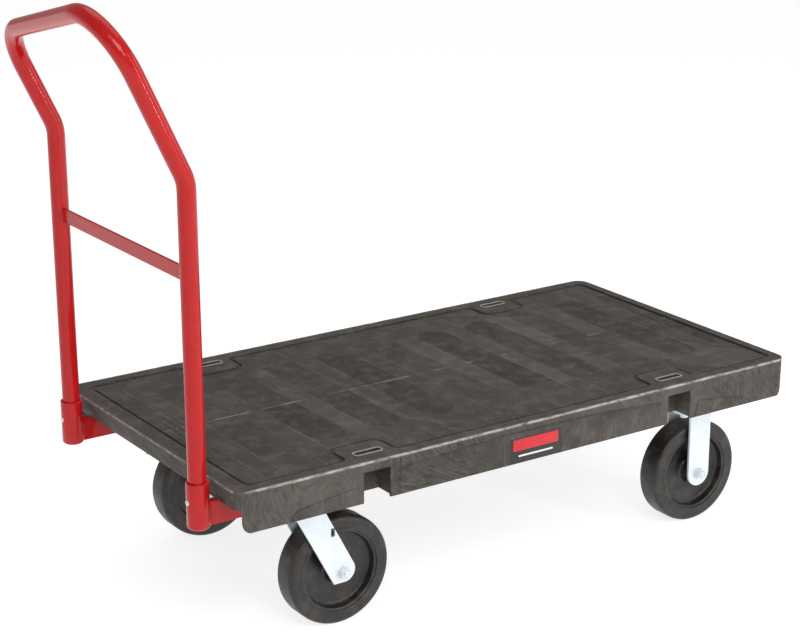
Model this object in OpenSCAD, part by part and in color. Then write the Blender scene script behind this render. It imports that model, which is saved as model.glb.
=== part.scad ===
// Platform cart: a moulded deck on two swivel and two rigid casters, with a
// removable push handle that stands in two sockets at the swivel end.
// +X runs along the deck, away from the handle. +Z is up and the wheels rest on z = 0.

/* [Deck] */
// Length of the deck
deck_l = 1226; // [1000:2:1500]
// Width of the deck over its raised side panels
deck_w = 642; // [600:2:760]
// Height of the deck's rim above the floor
deck_top = 321; // [315:1:333]
// Depth of the side skirts
skirt_h = 74; // [72:1:74]
// Thickness of the skirts
skirt_t = 5; // [4:0.5:7]
// Thickness of the load plate
plate_t = 6.5; // [5:0.5:9]
// Thickness of the ribs under the load plate
rib_t = 4; // [3:0.5:6]

/* [Straps] */
// Distance from the deck's middle to the middle of a strap slot, along X
slot_x = 339; // [300:1:345]
// Length of a strap slot
slot_l = 52; // [40:1:52]
// Width of a strap slot
slot_w = 13; // [10:1:14]
// Depth of the pocket under a strap slot, in from the skirt
pocket_d = 47; // [45:1:52]

/* [Handle] */
// Outer diameter of the handle's tube
tube_d = 31.75; // [28:0.25:34]
// Wall of the handle's tube
tube_wall = 2.1; // [1.5:0.1:3]
// Distance between the two posts' axes
post_span = 478; // [440:2:490]
// Distance from the deck's end to the posts' axes
post_out = 29; // [27:1:34]
// Height of the shoulder bends
shoulder_z = 833; // [780:0.5:900]
// Backward tilt of the loop above the shoulders, in degrees
loop_tilt = 25; // [15:0.25:30]
// Slope of the top bar across the loop, in degrees
bar_slope = 14.1; // [0:0.1:16]
// Height of the middle of the top bar above the shoulders, along the loop
bar_mid = 255.8; // [220:0.2:280]
// Height of the crossbar
crossbar_z = 677; // [560:1:740]

/* [Casters] */
// Diameter of the wheels
wheel_d = 203.2; // [203:0.1:203.4]
// Width of the wheels
wheel_w = 50.8; // [46:0.2:52]
// Distance between a pair of wheels' middle planes
wheel_span = 466; // [440:2:480]
// Distance from the deck's middle to the rigid axles
rigid_x = 443; // [430:1:460]
// Distance from the deck's middle to the swivels' kingpins
kingpin_x = 443; // [430:1:455]
// Trail of the swivel casters
trail = 66; // [60:1:68]
// Height of a caster from the floor to the top of its plate
caster_h = 241.3; // [241:0.1:241.6]

/* [Hidden] */

$fn = 64;
over = 1;                            // how far a cutter runs past a face
left = 1;                            // the +Y side
right = -1;                          // the -Y side

// Colours
resin = [0.27, 0.25, 0.235];
red = [0.74, 0.12, 0.12];
zinc = [0.80, 0.83, 0.86];
steel = [0.62, 0.64, 0.66];
brass = [0.72, 0.60, 0.33];
rubber = [0.17, 0.155, 0.145];
core_grey = [0.15, 0.14, 0.13];
black = [0.06, 0.06, 0.06];

// Handle: the loop's own plane has y across and v up along the tilt
tube_r = tube_d / 2;
post_y = post_span / 2;
bend_r = 95;                         // the two bends of the loop
shoulder_r = 70;                     // the two shoulder bends
post_x = -deck_l / 2 - post_out;
slope_k = tan(bar_slope);
bend_y = post_y - bend_r;
bend_low_v = bar_v(bend_y) - bend_r / cos(bar_slope);
bend_high_v = bar_v(-bend_y) - bend_r / cos(bar_slope);
loop_v = bend_high_v + bend_r;       // highest point of the loop's axis
shoulder_len = shoulder_r * tan(loop_tilt / 2);
rear_x = post_x - loop_v * sin(loop_tilt) - tube_r;
deck_x = -(deck_l / 2 + rear_x) / 2; // puts the origin under the middle of the whole cart

// Deck heights
rim_w = 25;                          // flat rim around the load surface
field_shift = 6;                     // the load surface and its slots sit towards the far end
field_drop = 1.5;                    // load surface below the rim
groove_w = 7;
groove_drop = 4;
corner_r = 26;
field_corner_r = 14;
skirt_bottom = deck_top - skirt_h;
plate_under = deck_top - field_drop - plate_t;
end_wall_h = 34;                     // height of the two end walls
end_break = 21;                      // height of the ends' upright part
end_lean = 16.2;                     // inward lean of the ends below it, in degrees
end_r = 14;                          // round at the lower corners of the skirts
panel_proud = 1;
skirt_y = deck_w / 2 - panel_proud;
panel_low = skirt_bottom + 0.5;
rib_h = 46;
end_inset = 20;                      // inner faces of the end walls, in from the deck's ends
slot_pad_l = 96;
slot_pad_in = 86;                    // inner edge of a slot's pad, in from the skirt
slot_y = skirt_y - pocket_d + slot_w / 2;
notch_l = 55;
notch_top = 18;                      // lip left above a notch
pocket_l = 66;
pocket_wall = 4;
beam_y = 110;
beam_w = 25;
beam_h = 38;
beam_l = 1120;
beam_wall = 2;
badge_l = 113;
badge_h = 46;
badge_t = 0.8;
badge_z = skirt_bottom + 26;
grip_l = 6;                          // low ribs on the load surface near both ends
grip_w = 100;
grip_pitch = 13;
grip_proud = 0.8;

// Brackets and sockets
socket_r = 19.8;
socket_bore_r = tube_r + 0.15;
socket_low = 241;
socket_high = 324;
socket_floor = 8;
screw_z = 290;
web_t = 5;
web_top = deck_top - end_wall_h - 2;
web_slit_l = 146;                    // clearance for the web in the deck's crosswise ribs
flange_t = 4.8;
flange_l = 150;
flange_w = 102;
pad_z = caster_h + flange_t;         // underside of the deck's bosses at the swivel end

// Casters
bolt_dx = 46;
bolt_dy = 38;
bolt_r = 4.7;
plate_bolt_flats = 14.3;
bolt_hole_r = 5.6;
bolt_len = 34;
insert_r = 6.5;
insert_len = 26;
boss_r = 13;
plate_lx = 114.3;
plate_ly = 101.6;
caster_plate_t = 6.3;
plate_low = caster_h - caster_plate_t;
race_drop = 6;
ball_ring_r = 27;
ball_r = 4;
ball_gap = 0.1;
race_gap = 2.8;
race_low = plate_low - race_drop;
crown_top = race_low - race_gap;
crown_t = 6.2;
crown_low = crown_top - crown_t;
ball_z = race_low - race_gap / 2;
race_in_r = 18;
race_out_r = 34;
kingpin_r = 7.94;
kingpin_fit = 0.06;
kingpin_flats = 24;
hub_r = 25;
hub_w = 57.2;
leg_in = 30;
leg_t = 4.8;
leg_out = leg_in + leg_t;
leg_w = 51;
leg_lean = 27.6;                     // lean of a swivel fork's legs, in degrees
leg_bottom_drop = 18.6;              // how far a swivel leg reaches below its axle
leg_corner_r = 22;
axle_r = 6.35;
axle_flats = 19;
axle_nut_h = 10.5;
sleeve_r = 9.525;
roller_r = 2.6;
race_shell_r = 15.08;
roller_ring_r = 12.2;
rollers = 10;
cage_end = 3;
bearing_l = 54;
tyre_in_r = 76;
wheel_r = wheel_d / 2;

// Height of the top bar's axis at a distance y across the loop
function bar_v(y) = bar_mid - slope_k * y;

// ---------- shapes used by several parts ----------

module rounded_rect(l, w, r) {
    square([l - 2 * r, w], center = true);
    square([l, w - 2 * r], center = true);
    for (sx = [-1, 1], sy = [-1, 1])
        translate([sx * (l / 2 - r), sy * (w / 2 - r)]) circle(r = r);
}

module hexagon(across) {
    circle(d = across / cos(30), $fn = 6);
}

// Lays a shape drawn in x and z flat on a plane of constant y
module upright(y_low, thickness) {
    translate([0, y_low + thickness, 0]) rotate([90, 0, 0]) linear_extrude(thickness) children();
}

// The frame of a post's foot, on one side of the cart
module at_post(side) {
    translate([deck_x + post_x, side * post_y, 0]) children();
}

module at_deck() {
    translate([deck_x, 0, 0]) children();
}

// ---------- deck ----------

// Side view of the deck between its leaning ends
module deck_profile() {
    lean = [cos(end_lean), -sin(end_lean)];
    reach = lean * [deck_l / 2, deck_top - end_break] - end_r;
    round_z = skirt_bottom + end_r;
    round_x = (reach - round_z * lean[1]) / lean[0];
    for (sx = [-1, 1]) scale([sx, 1]) {
        polygon([[0, deck_top], [0, skirt_bottom], [round_x, skirt_bottom],
            [round_x + end_r * lean[0], round_z + end_r * lean[1]],
            [deck_l / 2, deck_top - end_break], [deck_l / 2, deck_top]]);
        translate([round_x, round_z]) circle(r = end_r);
    }
}

// Load surface inside the rim, drawn in by the given distance
module load_field(inset) {
    fillet_r = 16 - inset;
    pad_l = slot_pad_l + 2 * inset;
    field_w = 2 * skirt_y - 2 * (rim_w + inset);
    pad_edge = skirt_y - slot_pad_in - inset;
    translate([field_shift, 0]) difference() {
        rounded_rect(deck_l - 2 * (rim_w + inset), field_w, field_corner_r);
        for (sx = [-1, 1], sy = [-1, 1]) translate([sx * slot_x, 0]) scale([1, sy]) {
            translate([0, pad_edge + slot_pad_in]) rounded_rect(pad_l, 2 * slot_pad_in, 20 + inset);
            for (side = [-1, 1]) scale([side, 1]) difference() {
                translate([pad_l / 2 - over, field_w / 2 - fillet_r]) square([fillet_r + over, fillet_r + over]);
                translate([pad_l / 2 + fillet_r, field_w / 2 - fillet_r]) circle(r = fillet_r);
            }
        }
    }
}

// The long raised panel on a skirt, with its gently arched upper edge
module middle_panel() {
    arch_l = 584;
    arch_rise = 12.5;
    arch_top = deck_top - 14;
    arch_r = (arch_l * arch_l / 4 + arch_rise * arch_rise) / (2 * arch_rise);
    intersection() {
        translate([-arch_l / 2, panel_low]) square([arch_l, arch_top - panel_low]);
        translate([0, arch_top - arch_r]) circle(r = arch_r, $fn = 720);
    }
}

// The short raised panel between a notch and the deck's end
module end_panel() {
    polygon([[380, panel_low], [386, skirt_bottom + 32], [498, skirt_bottom + 19],
        [508, skirt_bottom + 12], [513, panel_low]]);
}

module skirt_panels() {
    for (side = [left, right]) {
        low = side == left ? skirt_y - over : -deck_w / 2;
        upright(low, panel_proud + over) {
            middle_panel();
            for (sx = [-1, 1]) scale([sx, 1]) end_panel();
        }
    }
}

// Boxes around the four strap pockets: grow widens them into their walls
module pockets(grow) {
    for (sx = [-1, 1], side = [left, right])
        translate([sx * slot_x - pocket_l / 2 - grow,
            side == left ? skirt_y - pocket_d - grow : -skirt_y + (grow > 0 ? 0 : skirt_t),
            skirt_bottom - (grow > 0 ? 0 : over)])
            cube([pocket_l + 2 * grow, pocket_d + grow - (grow > 0 ? 0 : skirt_t),
                skirt_h - notch_top + (grow > 0 ? grow : over)]);
}

module notches() {
    for (sx = [-1, 1], side = [left, right])
        translate([sx * slot_x - notch_l / 2, side == left ? skirt_y - skirt_t - over : -skirt_y - over - panel_proud,
            skirt_bottom - over])
            cube([notch_l, skirt_t + 2 * over + panel_proud, skirt_h - notch_top + over]);
}

module ribs() {
    rib_low = plate_under - rib_h;
    inner_l = deck_l - 2 * skirt_t - 2 * end_inset;
    inner_w = 2 * (skirt_y - skirt_t) + over;
    bays = 11;
    for (i = [-5 : 5]) translate([i * inner_l / bays - rib_t / 2, -inner_w / 2, rib_low])
        cube([rib_t, inner_w, rib_h + over]);
    for (y = [-250, -195, -50, 50, 195, 250]) translate([-inner_l / 2, y - rib_t / 2, rib_low])
        cube([inner_l, rib_t, rib_h + over]);
}

module caster_spots() {
    for (side = [left, right], spot = [[-kingpin_x, pad_z], [rigid_x, caster_h]])
        translate([spot[0], side * wheel_span / 2, spot[1]]) children();
}

module bolt_places() {
    for (sx = [-1, 1], sy = [-1, 1]) translate([sx * bolt_dx, sy * bolt_dy, 0]) children();
}

module bosses() {
    for (side = [left, right], spot = [[-kingpin_x, pad_z], [rigid_x, caster_h]])
        translate([spot[0], side * wheel_span / 2, spot[1]]) {
            bolt_places() cylinder(r = boss_r, h = plate_under - spot[1] + over);
            for (sy = [-1, 1]) translate([-bolt_dx, sy * bolt_dy - rib_t / 2, 0])
                cube([2 * bolt_dx, rib_t, plate_under - spot[1] + over]);
        }
}

module grip_ribs() {
    for (i = [0 : 3], start = [[520, -42], [-556, -42]])
        translate([start[0] + i * grip_pitch, start[1], deck_top - field_drop - over])
            cube([grip_l, grip_w, over + grip_proud]);
}

module deck() {
    color(resin) at_deck() difference() {
        union() {
            difference() {
                intersection() {
                    upright(-skirt_y, 2 * skirt_y) deck_profile();
                    translate([0, 0, skirt_bottom - over]) linear_extrude(skirt_h + 2 * over)
                        rounded_rect(deck_l, 2 * skirt_y, corner_r);
                }
                translate([0, 0, skirt_bottom - over]) linear_extrude(plate_under - skirt_bottom + over)
                    rounded_rect(deck_l - 2 * end_inset, 2 * (skirt_y - skirt_t), corner_r - skirt_t);
                for (sx = [-1, 1]) translate([sx * deck_l / 2, 0, skirt_bottom - over])
                    translate([-3 * end_inset, -(skirt_y - skirt_t), 0])
                        cube([6 * end_inset, 2 * (skirt_y - skirt_t), skirt_h - end_wall_h + over]);
                translate([0, 0, deck_top - field_drop]) linear_extrude(field_drop + over) load_field(0);
                translate([0, 0, deck_top - groove_drop]) linear_extrude(groove_drop) difference() {
                    load_field(0);
                    load_field(groove_w);
                }
            }
            skirt_panels();
            ribs();
            bosses();
            pockets(pocket_wall);
            grip_ribs();
        }
        pockets(0);
        notches();
        for (sx = [-1, 1], side = [left, right]) translate([sx * slot_x + field_shift, side * slot_y, plate_under - 20])
            linear_extrude(skirt_h) rounded_rect(slot_l, slot_w, 4);
        for (side = [left, right], spot = [[-kingpin_x, pad_z], [rigid_x, caster_h]])
            translate([spot[0], side * wheel_span / 2, spot[1] - over])
                bolt_places() cylinder(r = insert_r, h = bolt_len + over);
        for (side = [left, right]) {
            translate([post_x, side * post_y - web_t / 2 - over, 0])
                cube([web_slit_l, web_t + 2 * over, web_top + over]);
            translate([-beam_l / 2, side * beam_y - beam_w / 2, plate_under - beam_h]) cube([beam_l, beam_w, beam_h]);
        }
        translate([0, -deck_w / 2, badge_z]) cube([badge_l, 2 * badge_t, badge_h], center = true);
    }
}

module badge() {
    color(black) at_deck() translate([-badge_l / 2, -deck_w / 2, badge_z - badge_h / 2])
        cube([badge_l, badge_t, badge_h]);
}

module deck_beams() {
    color(steel) at_deck() for (side = [left, right])
        translate([-beam_l / 2, side * beam_y, plate_under - beam_h / 2]) rotate([90, 0, 90])
            linear_extrude(beam_l) difference() {
                square([beam_w, beam_h], center = true);
                square([beam_w - 2 * beam_wall, beam_h - 2 * beam_wall], center = true);
            }
}

module threaded_inserts() {
    color(brass) at_deck() caster_spots() bolt_places() difference() {
        cylinder(r = insert_r, h = insert_len);
        translate([0, 0, -over]) cylinder(r = bolt_r + 0.1, h = insert_len + 2 * over);
    }
}

// ---------- handle ----------

// Stations along the tube's axis, from the foot of the right post to that of the left.
// Each is a point and the direction of travel there.
function on_post(y, z, up) = [[post_x, y, z], [0, 0, up]];
function on_shoulder(y, turn, up) = [
    [post_x - shoulder_r * (1 - cos(turn)), y, shoulder_z - shoulder_len + shoulder_r * sin(turn)],
    [-up * sin(turn), 0, up * cos(turn)]];
function on_loop(centre_y, centre_v, turn) = let (v = centre_v + bend_r * sin(turn)) [
    [post_x - v * sin(loop_tilt), centre_y - bend_r * cos(turn), shoulder_z + v * cos(loop_tilt)],
    [-cos(turn) * sin(loop_tilt), sin(turn), cos(turn) * cos(loop_tilt)]];

shoulder_steps = 3;
bend_steps = 9;
bar_turn = 90 + bar_slope;
stations = concat(
    [for (z = [socket_low + socket_floor, shoulder_z - shoulder_len]) on_post(-post_y, z, 1)],
    [for (i = [1 : shoulder_steps]) on_shoulder(-post_y, i * loop_tilt / shoulder_steps, 1)],
    [for (i = [0 : bend_steps]) on_loop(-bend_y, bend_high_v, i * bar_turn / bend_steps)],
    [for (i = [0 : bend_steps]) on_loop(bend_y, bend_low_v, bar_turn + i * (180 - bar_turn) / bend_steps)],
    [for (i = [0 : shoulder_steps - 1]) on_shoulder(post_y, loop_tilt - i * loop_tilt / shoulder_steps, -1)],
    [for (z = [shoulder_z - shoulder_len, socket_low + socket_floor]) on_post(post_y, z, -1)]);
sides = 20;
loop_normal = [cos(loop_tilt), 0, sin(loop_tilt)];

// Points of one ring of the tube
function ring(station, r) = let (
    u = cross(station[1], loop_normal) / norm(cross(station[1], loop_normal)),
    w = cross(station[1], u))
    [for (i = [0 : sides - 1]) station[0] + r * (cos(i * 360 / sides) * u + sin(i * 360 / sides) * w)];

// The tube is swept along its bent axis in one piece
module handle_tube() {
    rings = len(stations);
    inner = rings * sides;
    last = inner - sides;
    points = [for (r = [tube_r, tube_r - tube_wall]) for (s = stations) each ring(s, r)];
    walls = [for (k = [0 : rings - 2], i = [0 : sides - 1])
        let (j = (i + 1) % sides, p = k * sides + i, q = k * sides + j) [p, q, q + sides, p + sides]];
    caps = [for (i = [0 : sides - 1]) let (j = (i + 1) % sides) each
        [[i, i + inner, j + inner, j], [last + i, last + j, last + j + inner, last + i + inner]]];
    faces = concat(walls, [for (f = walls) [f[3] + inner, f[2] + inner, f[1] + inner, f[0] + inner]], caps);
    color(red) at_deck() polyhedron(points, [for (f = faces) each [[f[0], f[2], f[1]], [f[0], f[3], f[2]]]]);
}

module handle_crossbar() {
    bar_h = 26;
    bar_t = 5;
    color(red) difference() {
        translate([deck_x + post_x - bar_t / 2, -post_y, crossbar_z - bar_h / 2]) cube([bar_t, 2 * post_y, bar_h]);
        for (side = [left, right]) at_post(side) translate([0, 0, crossbar_z - bar_h]) cylinder(r = tube_r, h = 2 * bar_h);
    }
}

module socket(side) {
    base_r = 6;
    screw_hole_r = 3.2;
    color(red) at_post(side) difference() {
        union() {
            translate([0, 0, socket_low + base_r]) cylinder(r = socket_r, h = socket_high - socket_low - base_r);
            translate([0, 0, socket_low]) cylinder(r = socket_r - base_r, h = base_r + over);
            translate([0, 0, socket_low + base_r]) rotate_extrude() translate([socket_r - base_r, 0]) circle(r = base_r);
        }
        translate([0, 0, socket_low + socket_floor]) cylinder(r = socket_bore_r, h = socket_high);
        translate([0, 0, screw_z]) rotate([0, -90, 0]) cylinder(r = screw_hole_r, h = 2 * socket_r);
    }
}
module socket_left() { socket(left); }
module socket_right() { socket(right); }

// A screw in the rear wall of each socket, with its tip short of the tube
module socket_screws() {
    screw_head_r = 5;
    screw_l = 3.2;
    color(zinc) for (side = [left, right]) at_post(side) translate([-socket_r, 0, screw_z]) rotate([0, -90, 0]) {
        cylinder(r = screw_head_r, h = 2.2);
        translate([0, 0, -screw_l]) cylinder(r = 3, h = screw_l + over);
    }
}

module bracket(side) {
    web_start = post_x + 17;
    web_lap = 20;
    flange_x = -kingpin_x - flange_l / 2 - 10;
    color(red) at_deck() difference() {
        union() {
            translate([web_start, side * post_y - web_t / 2, caster_h])
                cube([flange_x + web_lap - web_start, web_t, web_top - caster_h]);
            translate([flange_x, side * wheel_span / 2 - flange_w / 2, caster_h]) cube([flange_l, flange_w, flange_t]);
        }
        translate([post_x, side * post_y, socket_low - over]) cylinder(r = socket_r, h = socket_high - socket_low);
        translate([-kingpin_x, side * wheel_span / 2, caster_h - over]) {
            bolt_places() cylinder(r = bolt_hole_r, h = flange_t + 2 * over);
            cylinder(r = 18, h = flange_t + 2 * over);
        }
    }
}
module bracket_left() { bracket(left); }
module bracket_right() { bracket(right); }

// ---------- casters ----------

module at_swivel(side) {
    translate([deck_x - kingpin_x, side * wheel_span / 2, 0]) children();
}
module at_rigid(side) {
    translate([deck_x + rigid_x, side * wheel_span / 2, 0]) children();
}
// Turns a shape drawn along +Z to lie along the axle, its +Z end outwards
module along_axle(side) {
    translate([0, 0, wheel_r]) rotate([side * -90, 0, 0]) children();
}
module at_swivel_axle(side) {
    at_swivel(side) translate([trail, 0, 0]) along_axle(side) children();
}
module at_rigid_axle(side) {
    at_rigid(side) along_axle(side) children();
}

module caster_plate() {
    difference() {
        translate([0, 0, plate_low]) linear_extrude(caster_plate_t) rounded_rect(plate_lx, plate_ly, 10);
        bolt_places() translate([0, 0, plate_low - over]) cylinder(r = bolt_hole_r, h = caster_plate_t + 2 * over);
    }
}

module ball_groove() {
    translate([0, 0, ball_z]) rotate_extrude() translate([ball_ring_r, 0]) circle(r = ball_r + ball_gap);
}

module swivel_plate(side) {
    color(zinc) at_swivel(side) difference() {
        union() {
            caster_plate();
            translate([0, 0, race_low]) cylinder(r = race_out_r, h = race_drop);
        }
        translate([0, 0, race_low - over]) cylinder(r = kingpin_r + kingpin_fit, h = caster_h);
        translate([0, 0, race_low - over]) cylinder(r = race_in_r, h = race_drop + over);
        ball_groove();
    }
}

module race_balls(side) {
    count = 16;
    color(steel) at_swivel(side) for (i = [0 : count - 1])
        rotate([0, 0, i * 360 / count]) translate([ball_ring_r, 0, ball_z]) sphere(r = ball_r, $fn = 24);
}

module kingpin(side) {
    head_h = 9;
    below_crown = 15;
    color(steel) at_swivel(side) {
        translate([0, 0, caster_h]) linear_extrude(head_h) hexagon(kingpin_flats);
        translate([0, 0, crown_low - below_crown]) cylinder(r = kingpin_r, h = caster_h - crown_low + below_crown);
    }
}

module kingpin_nut(side) {
    color(zinc) at_swivel(side) difference() {
        translate([0, 0, crown_low - 13]) linear_extrude(11) hexagon(kingpin_flats);
        translate([0, 0, crown_low - 13 - over]) cylinder(r = kingpin_r, h = 13);
    }
}

module thrust_washer(side) {
    color(steel) at_swivel(side) difference() {
        translate([0, 0, crown_low - 2]) cylinder(r = 17, h = 1.7);
        translate([0, 0, crown_low - 3]) cylinder(r = kingpin_r, h = 4);
    }
}

// Hex bolts through a caster's plate, heads below it
module plate_bolts(top) {
    head_h = 6;
    color(zinc) bolt_places() {
        translate([0, 0, plate_low - head_h]) linear_extrude(head_h) hexagon(plate_bolt_flats);
        translate([0, 0, plate_low - over]) cylinder(r = bolt_r, h = top - plate_low + over);
    }
}
module swivel_bolts(side) { at_swivel(side) plate_bolts(pad_z + insert_len); }
module rigid_bolts(side) { at_rigid(side) plate_bolts(caster_h + insert_len); }

// Outline of a leaning leg: parallel edges, a square rear foot and a round front one
module leaning_leg() {
    across = [cos(leg_lean), sin(leg_lean)];
    mid = across * [trail, wheel_r];
    rear = mid - leg_w / 2;
    front = mid + leg_w / 2;
    foot_z = wheel_r - leg_bottom_drop;
    round_z = foot_z + leg_corner_r;
    round_x = (front - leg_corner_r - round_z * across[1]) / across[0];
    polygon([[(rear - crown_top * across[1]) / across[0], crown_top],
        [(front - crown_top * across[1]) / across[0], crown_top],
        [round_x + leg_corner_r * across[0], round_z + leg_corner_r * across[1]],
        [round_x, round_z], [round_x, foot_z],
        [(rear - foot_z * across[1]) / across[0], foot_z]]);
    translate([round_x, round_z]) circle(r = leg_corner_r);
}

module swivel_fork(side) {
    window_x = 46;
    window_z = 182;
    crown_back = 28;
    crown_front = 29;
    color(zinc) at_swivel(side) difference() {
        union() {
            for (face = [-leg_out, leg_in]) upright(face, leg_t) difference() {
                leaning_leg();
                translate([window_x, window_z]) square([8, 16], center = true);
            }
            translate([0, 0, crown_low]) cylinder(r = leg_out, h = crown_t);
            translate([-crown_back, -leg_out, crown_low]) cube([crown_back + crown_front, 2 * leg_out, crown_t]);
        }
        translate([0, 0, crown_low - over]) cylinder(r = kingpin_r + kingpin_fit, h = crown_t + 2 * over);
        ball_groove();
        translate([trail, -leg_out - over, wheel_r]) rotate([-90, 0, 0]) cylinder(r = axle_r + 0.1, h = 2 * leg_out + 2 * over);
    }
}

module rigid_fork(side) {
    color(zinc) at_rigid(side) difference() {
        union() {
            caster_plate();
            for (face = [-leg_out, leg_in]) upright(face, leg_t) {
                translate([0, wheel_r]) circle(r = leg_w / 2);
                translate([-leg_w / 2, wheel_r]) square([leg_w, plate_low - wheel_r + over]);
            }
            translate([-leg_w / 2, -leg_out, plate_low - leg_t]) cube([leg_w, 2 * leg_out, leg_t + over]);
        }
        translate([0, -leg_out - over, wheel_r]) rotate([-90, 0, 0]) cylinder(r = axle_r + 0.1, h = 2 * leg_out + 2 * over);
    }
}

// The axle's own z axis points outwards, away from the cart's middle
module axle_bolt() {
    head_h = 8;
    past_leg = 14;
    color(zinc) {
        translate([0, 0, -leg_out - head_h]) linear_extrude(head_h) hexagon(axle_flats);
        translate([0, 0, -leg_out - over]) cylinder(r = axle_r, h = 2 * leg_out + over + past_leg);
    }
}

module axle_nut() {
    color(zinc) translate([0, 0, leg_out]) difference() {
        linear_extrude(axle_nut_h) hexagon(axle_flats);
        translate([0, 0, -over]) cylinder(r = axle_r, h = axle_nut_h + 2 * over);
    }
}

module axle_sleeve() {
    color(steel) difference() {
        translate([0, 0, -leg_in]) cylinder(r = sleeve_r, h = 2 * leg_in);
        translate([0, 0, -leg_in - over]) cylinder(r = axle_r + 0.1, h = 2 * leg_in + 2 * over);
    }
}

module tyre() {
    shoulder = 9;
    color(rubber) rotate_extrude($fn = 128) difference() {
        union() {
            translate([tyre_in_r, -wheel_w / 2]) square([wheel_r - shoulder - tyre_in_r, wheel_w]);
            translate([wheel_r - shoulder - over, -wheel_w / 2 + shoulder])
                square([shoulder + over, wheel_w - 2 * shoulder]);
            for (s = [-1, 1]) translate([wheel_r - shoulder, s * (wheel_w / 2 - shoulder)]) circle(r = shoulder);
        }
        translate([0, -wheel_w]) square([tyre_in_r, 2 * wheel_w]);
    }
}

module wheel_core() {
    rim_in = 70;
    web = 18;
    color(core_grey) rotate_extrude($fn = 128) difference() {
        union() {
            translate([0, -wheel_w / 2 + 1]) square([tyre_in_r, wheel_w - 2]);
            translate([0, -hub_w / 2]) square([hub_r, hub_w]);
        }
        for (s = [-1, 1]) scale([1, s]) translate([hub_r, web / 2]) square([rim_in - hub_r, wheel_w]);
        translate([-over, -hub_w]) square([race_shell_r + over, 2 * hub_w]);
    }
}

// Cage and rollers between the core and the sleeve
module roller_bearing() {
    cage_in = sleeve_r + 0.075;
    cage_out = race_shell_r - 0.03;
    roller_l = bearing_l - 2 * cage_end - 0.4;
    bar_angle = 360 / rollers;
    color(steel) {
        difference() {
            translate([0, 0, -bearing_l / 2]) cylinder(r = cage_out, h = bearing_l);
            translate([0, 0, -bearing_l / 2 - over]) cylinder(r = cage_in, h = bearing_l + 2 * over);
            translate([0, 0, -bearing_l / 2 + cage_end]) difference() {
                cylinder(r = cage_out + over, h = bearing_l - 2 * cage_end);
                for (i = [0 : rollers - 1]) rotate([0, 0, (i + 0.5) * bar_angle])
                    translate([0, -0.7, -over]) cube([race_shell_r, 1.4, bearing_l]);
            }
        }
        for (i = [0 : rollers - 1]) rotate([0, 0, i * bar_angle])
            translate([roller_ring_r, 0, -roller_l / 2]) cylinder(r = roller_r, h = roller_l, $fn = 24);
    }
}

module swivel_plate_left() { swivel_plate(left); }
module race_balls_left() { race_balls(left); }
module kingpin_left() { kingpin(left); }
module kingpin_nut_left() { kingpin_nut(left); }
module thrust_washer_left() { thrust_washer(left); }
module swivel_bolts_left() { swivel_bolts(left); }
module swivel_fork_left() { swivel_fork(left); }
module swivel_axle_bolt_left() { at_swivel_axle(left) axle_bolt(); }
module swivel_axle_nut_left() { at_swivel_axle(left) axle_nut(); }
module swivel_axle_sleeve_left() { at_swivel_axle(left) axle_sleeve(); }
module swivel_tyre_left() { at_swivel_axle(left) tyre(); }
module swivel_core_left() { at_swivel_axle(left) wheel_core(); }
module swivel_bearing_left() { at_swivel_axle(left) roller_bearing(); }

module swivel_plate_right() { swivel_plate(right); }
module race_balls_right() { race_balls(right); }
module kingpin_right() { kingpin(right); }
module kingpin_nut_right() { kingpin_nut(right); }
module thrust_washer_right() { thrust_washer(right); }
module swivel_bolts_right() { swivel_bolts(right); }
module swivel_fork_right() { swivel_fork(right); }
module swivel_axle_bolt_right() { at_swivel_axle(right) axle_bolt(); }
module swivel_axle_nut_right() { at_swivel_axle(right) axle_nut(); }
module swivel_axle_sleeve_right() { at_swivel_axle(right) axle_sleeve(); }
module swivel_tyre_right() { at_swivel_axle(right) tyre(); }
module swivel_core_right() { at_swivel_axle(right) wheel_core(); }
module swivel_bearing_right() { at_swivel_axle(right) roller_bearing(); }

module rigid_fork_left() { rigid_fork(left); }
module rigid_bolts_left() { rigid_bolts(left); }
module rigid_axle_bolt_left() { at_rigid_axle(left) axle_bolt(); }
module rigid_axle_nut_left() { at_rigid_axle(left) axle_nut(); }
module rigid_axle_sleeve_left() { at_rigid_axle(left) axle_sleeve(); }
module rigid_tyre_left() { at_rigid_axle(left) tyre(); }
module rigid_core_left() { at_rigid_axle(left) wheel_core(); }
module rigid_bearing_left() { at_rigid_axle(left) roller_bearing(); }

module rigid_fork_right() { rigid_fork(right); }
module rigid_bolts_right() { rigid_bolts(right); }
module rigid_axle_bolt_right() { at_rigid_axle(right) axle_bolt(); }
module rigid_axle_nut_right() { at_rigid_axle(right) axle_nut(); }
module rigid_axle_sleeve_right() { at_rigid_axle(right) axle_sleeve(); }
module rigid_tyre_right() { at_rigid_axle(right) tyre(); }
module rigid_core_right() { at_rigid_axle(right) wheel_core(); }
module rigid_bearing_right() { at_rigid_axle(right) roller_bearing(); }

deck();
deck_beams();
threaded_inserts();
badge();
handle_tube();
handle_crossbar();
socket_left();
socket_right();
bracket_left();
bracket_right();
socket_screws();
swivel_plate_left();
race_balls_left();
kingpin_left();
kingpin_nut_left();
thrust_washer_left();
swivel_bolts_left();
swivel_fork_left();
swivel_axle_bolt_left();
swivel_axle_nut_left();
swivel_axle_sleeve_left();
swivel_tyre_left();
swivel_core_left();
swivel_bearing_left();
swivel_plate_right();
race_balls_right();
kingpin_right();
kingpin_nut_right();
thrust_washer_right();
swivel_bolts_right();
swivel_fork_right();
swivel_axle_bolt_right();
swivel_axle_nut_right();
swivel_axle_sleeve_right();
swivel_tyre_right();
swivel_core_right();
swivel_bearing_right();
rigid_fork_left();
rigid_bolts_left();
rigid_axle_bolt_left();
rigid_axle_nut_left();
rigid_axle_sleeve_left();
rigid_tyre_left();
rigid_core_left();
rigid_bearing_left();
rigid_fork_right();
rigid_bolts_right();
rigid_axle_bolt_right();
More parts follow.
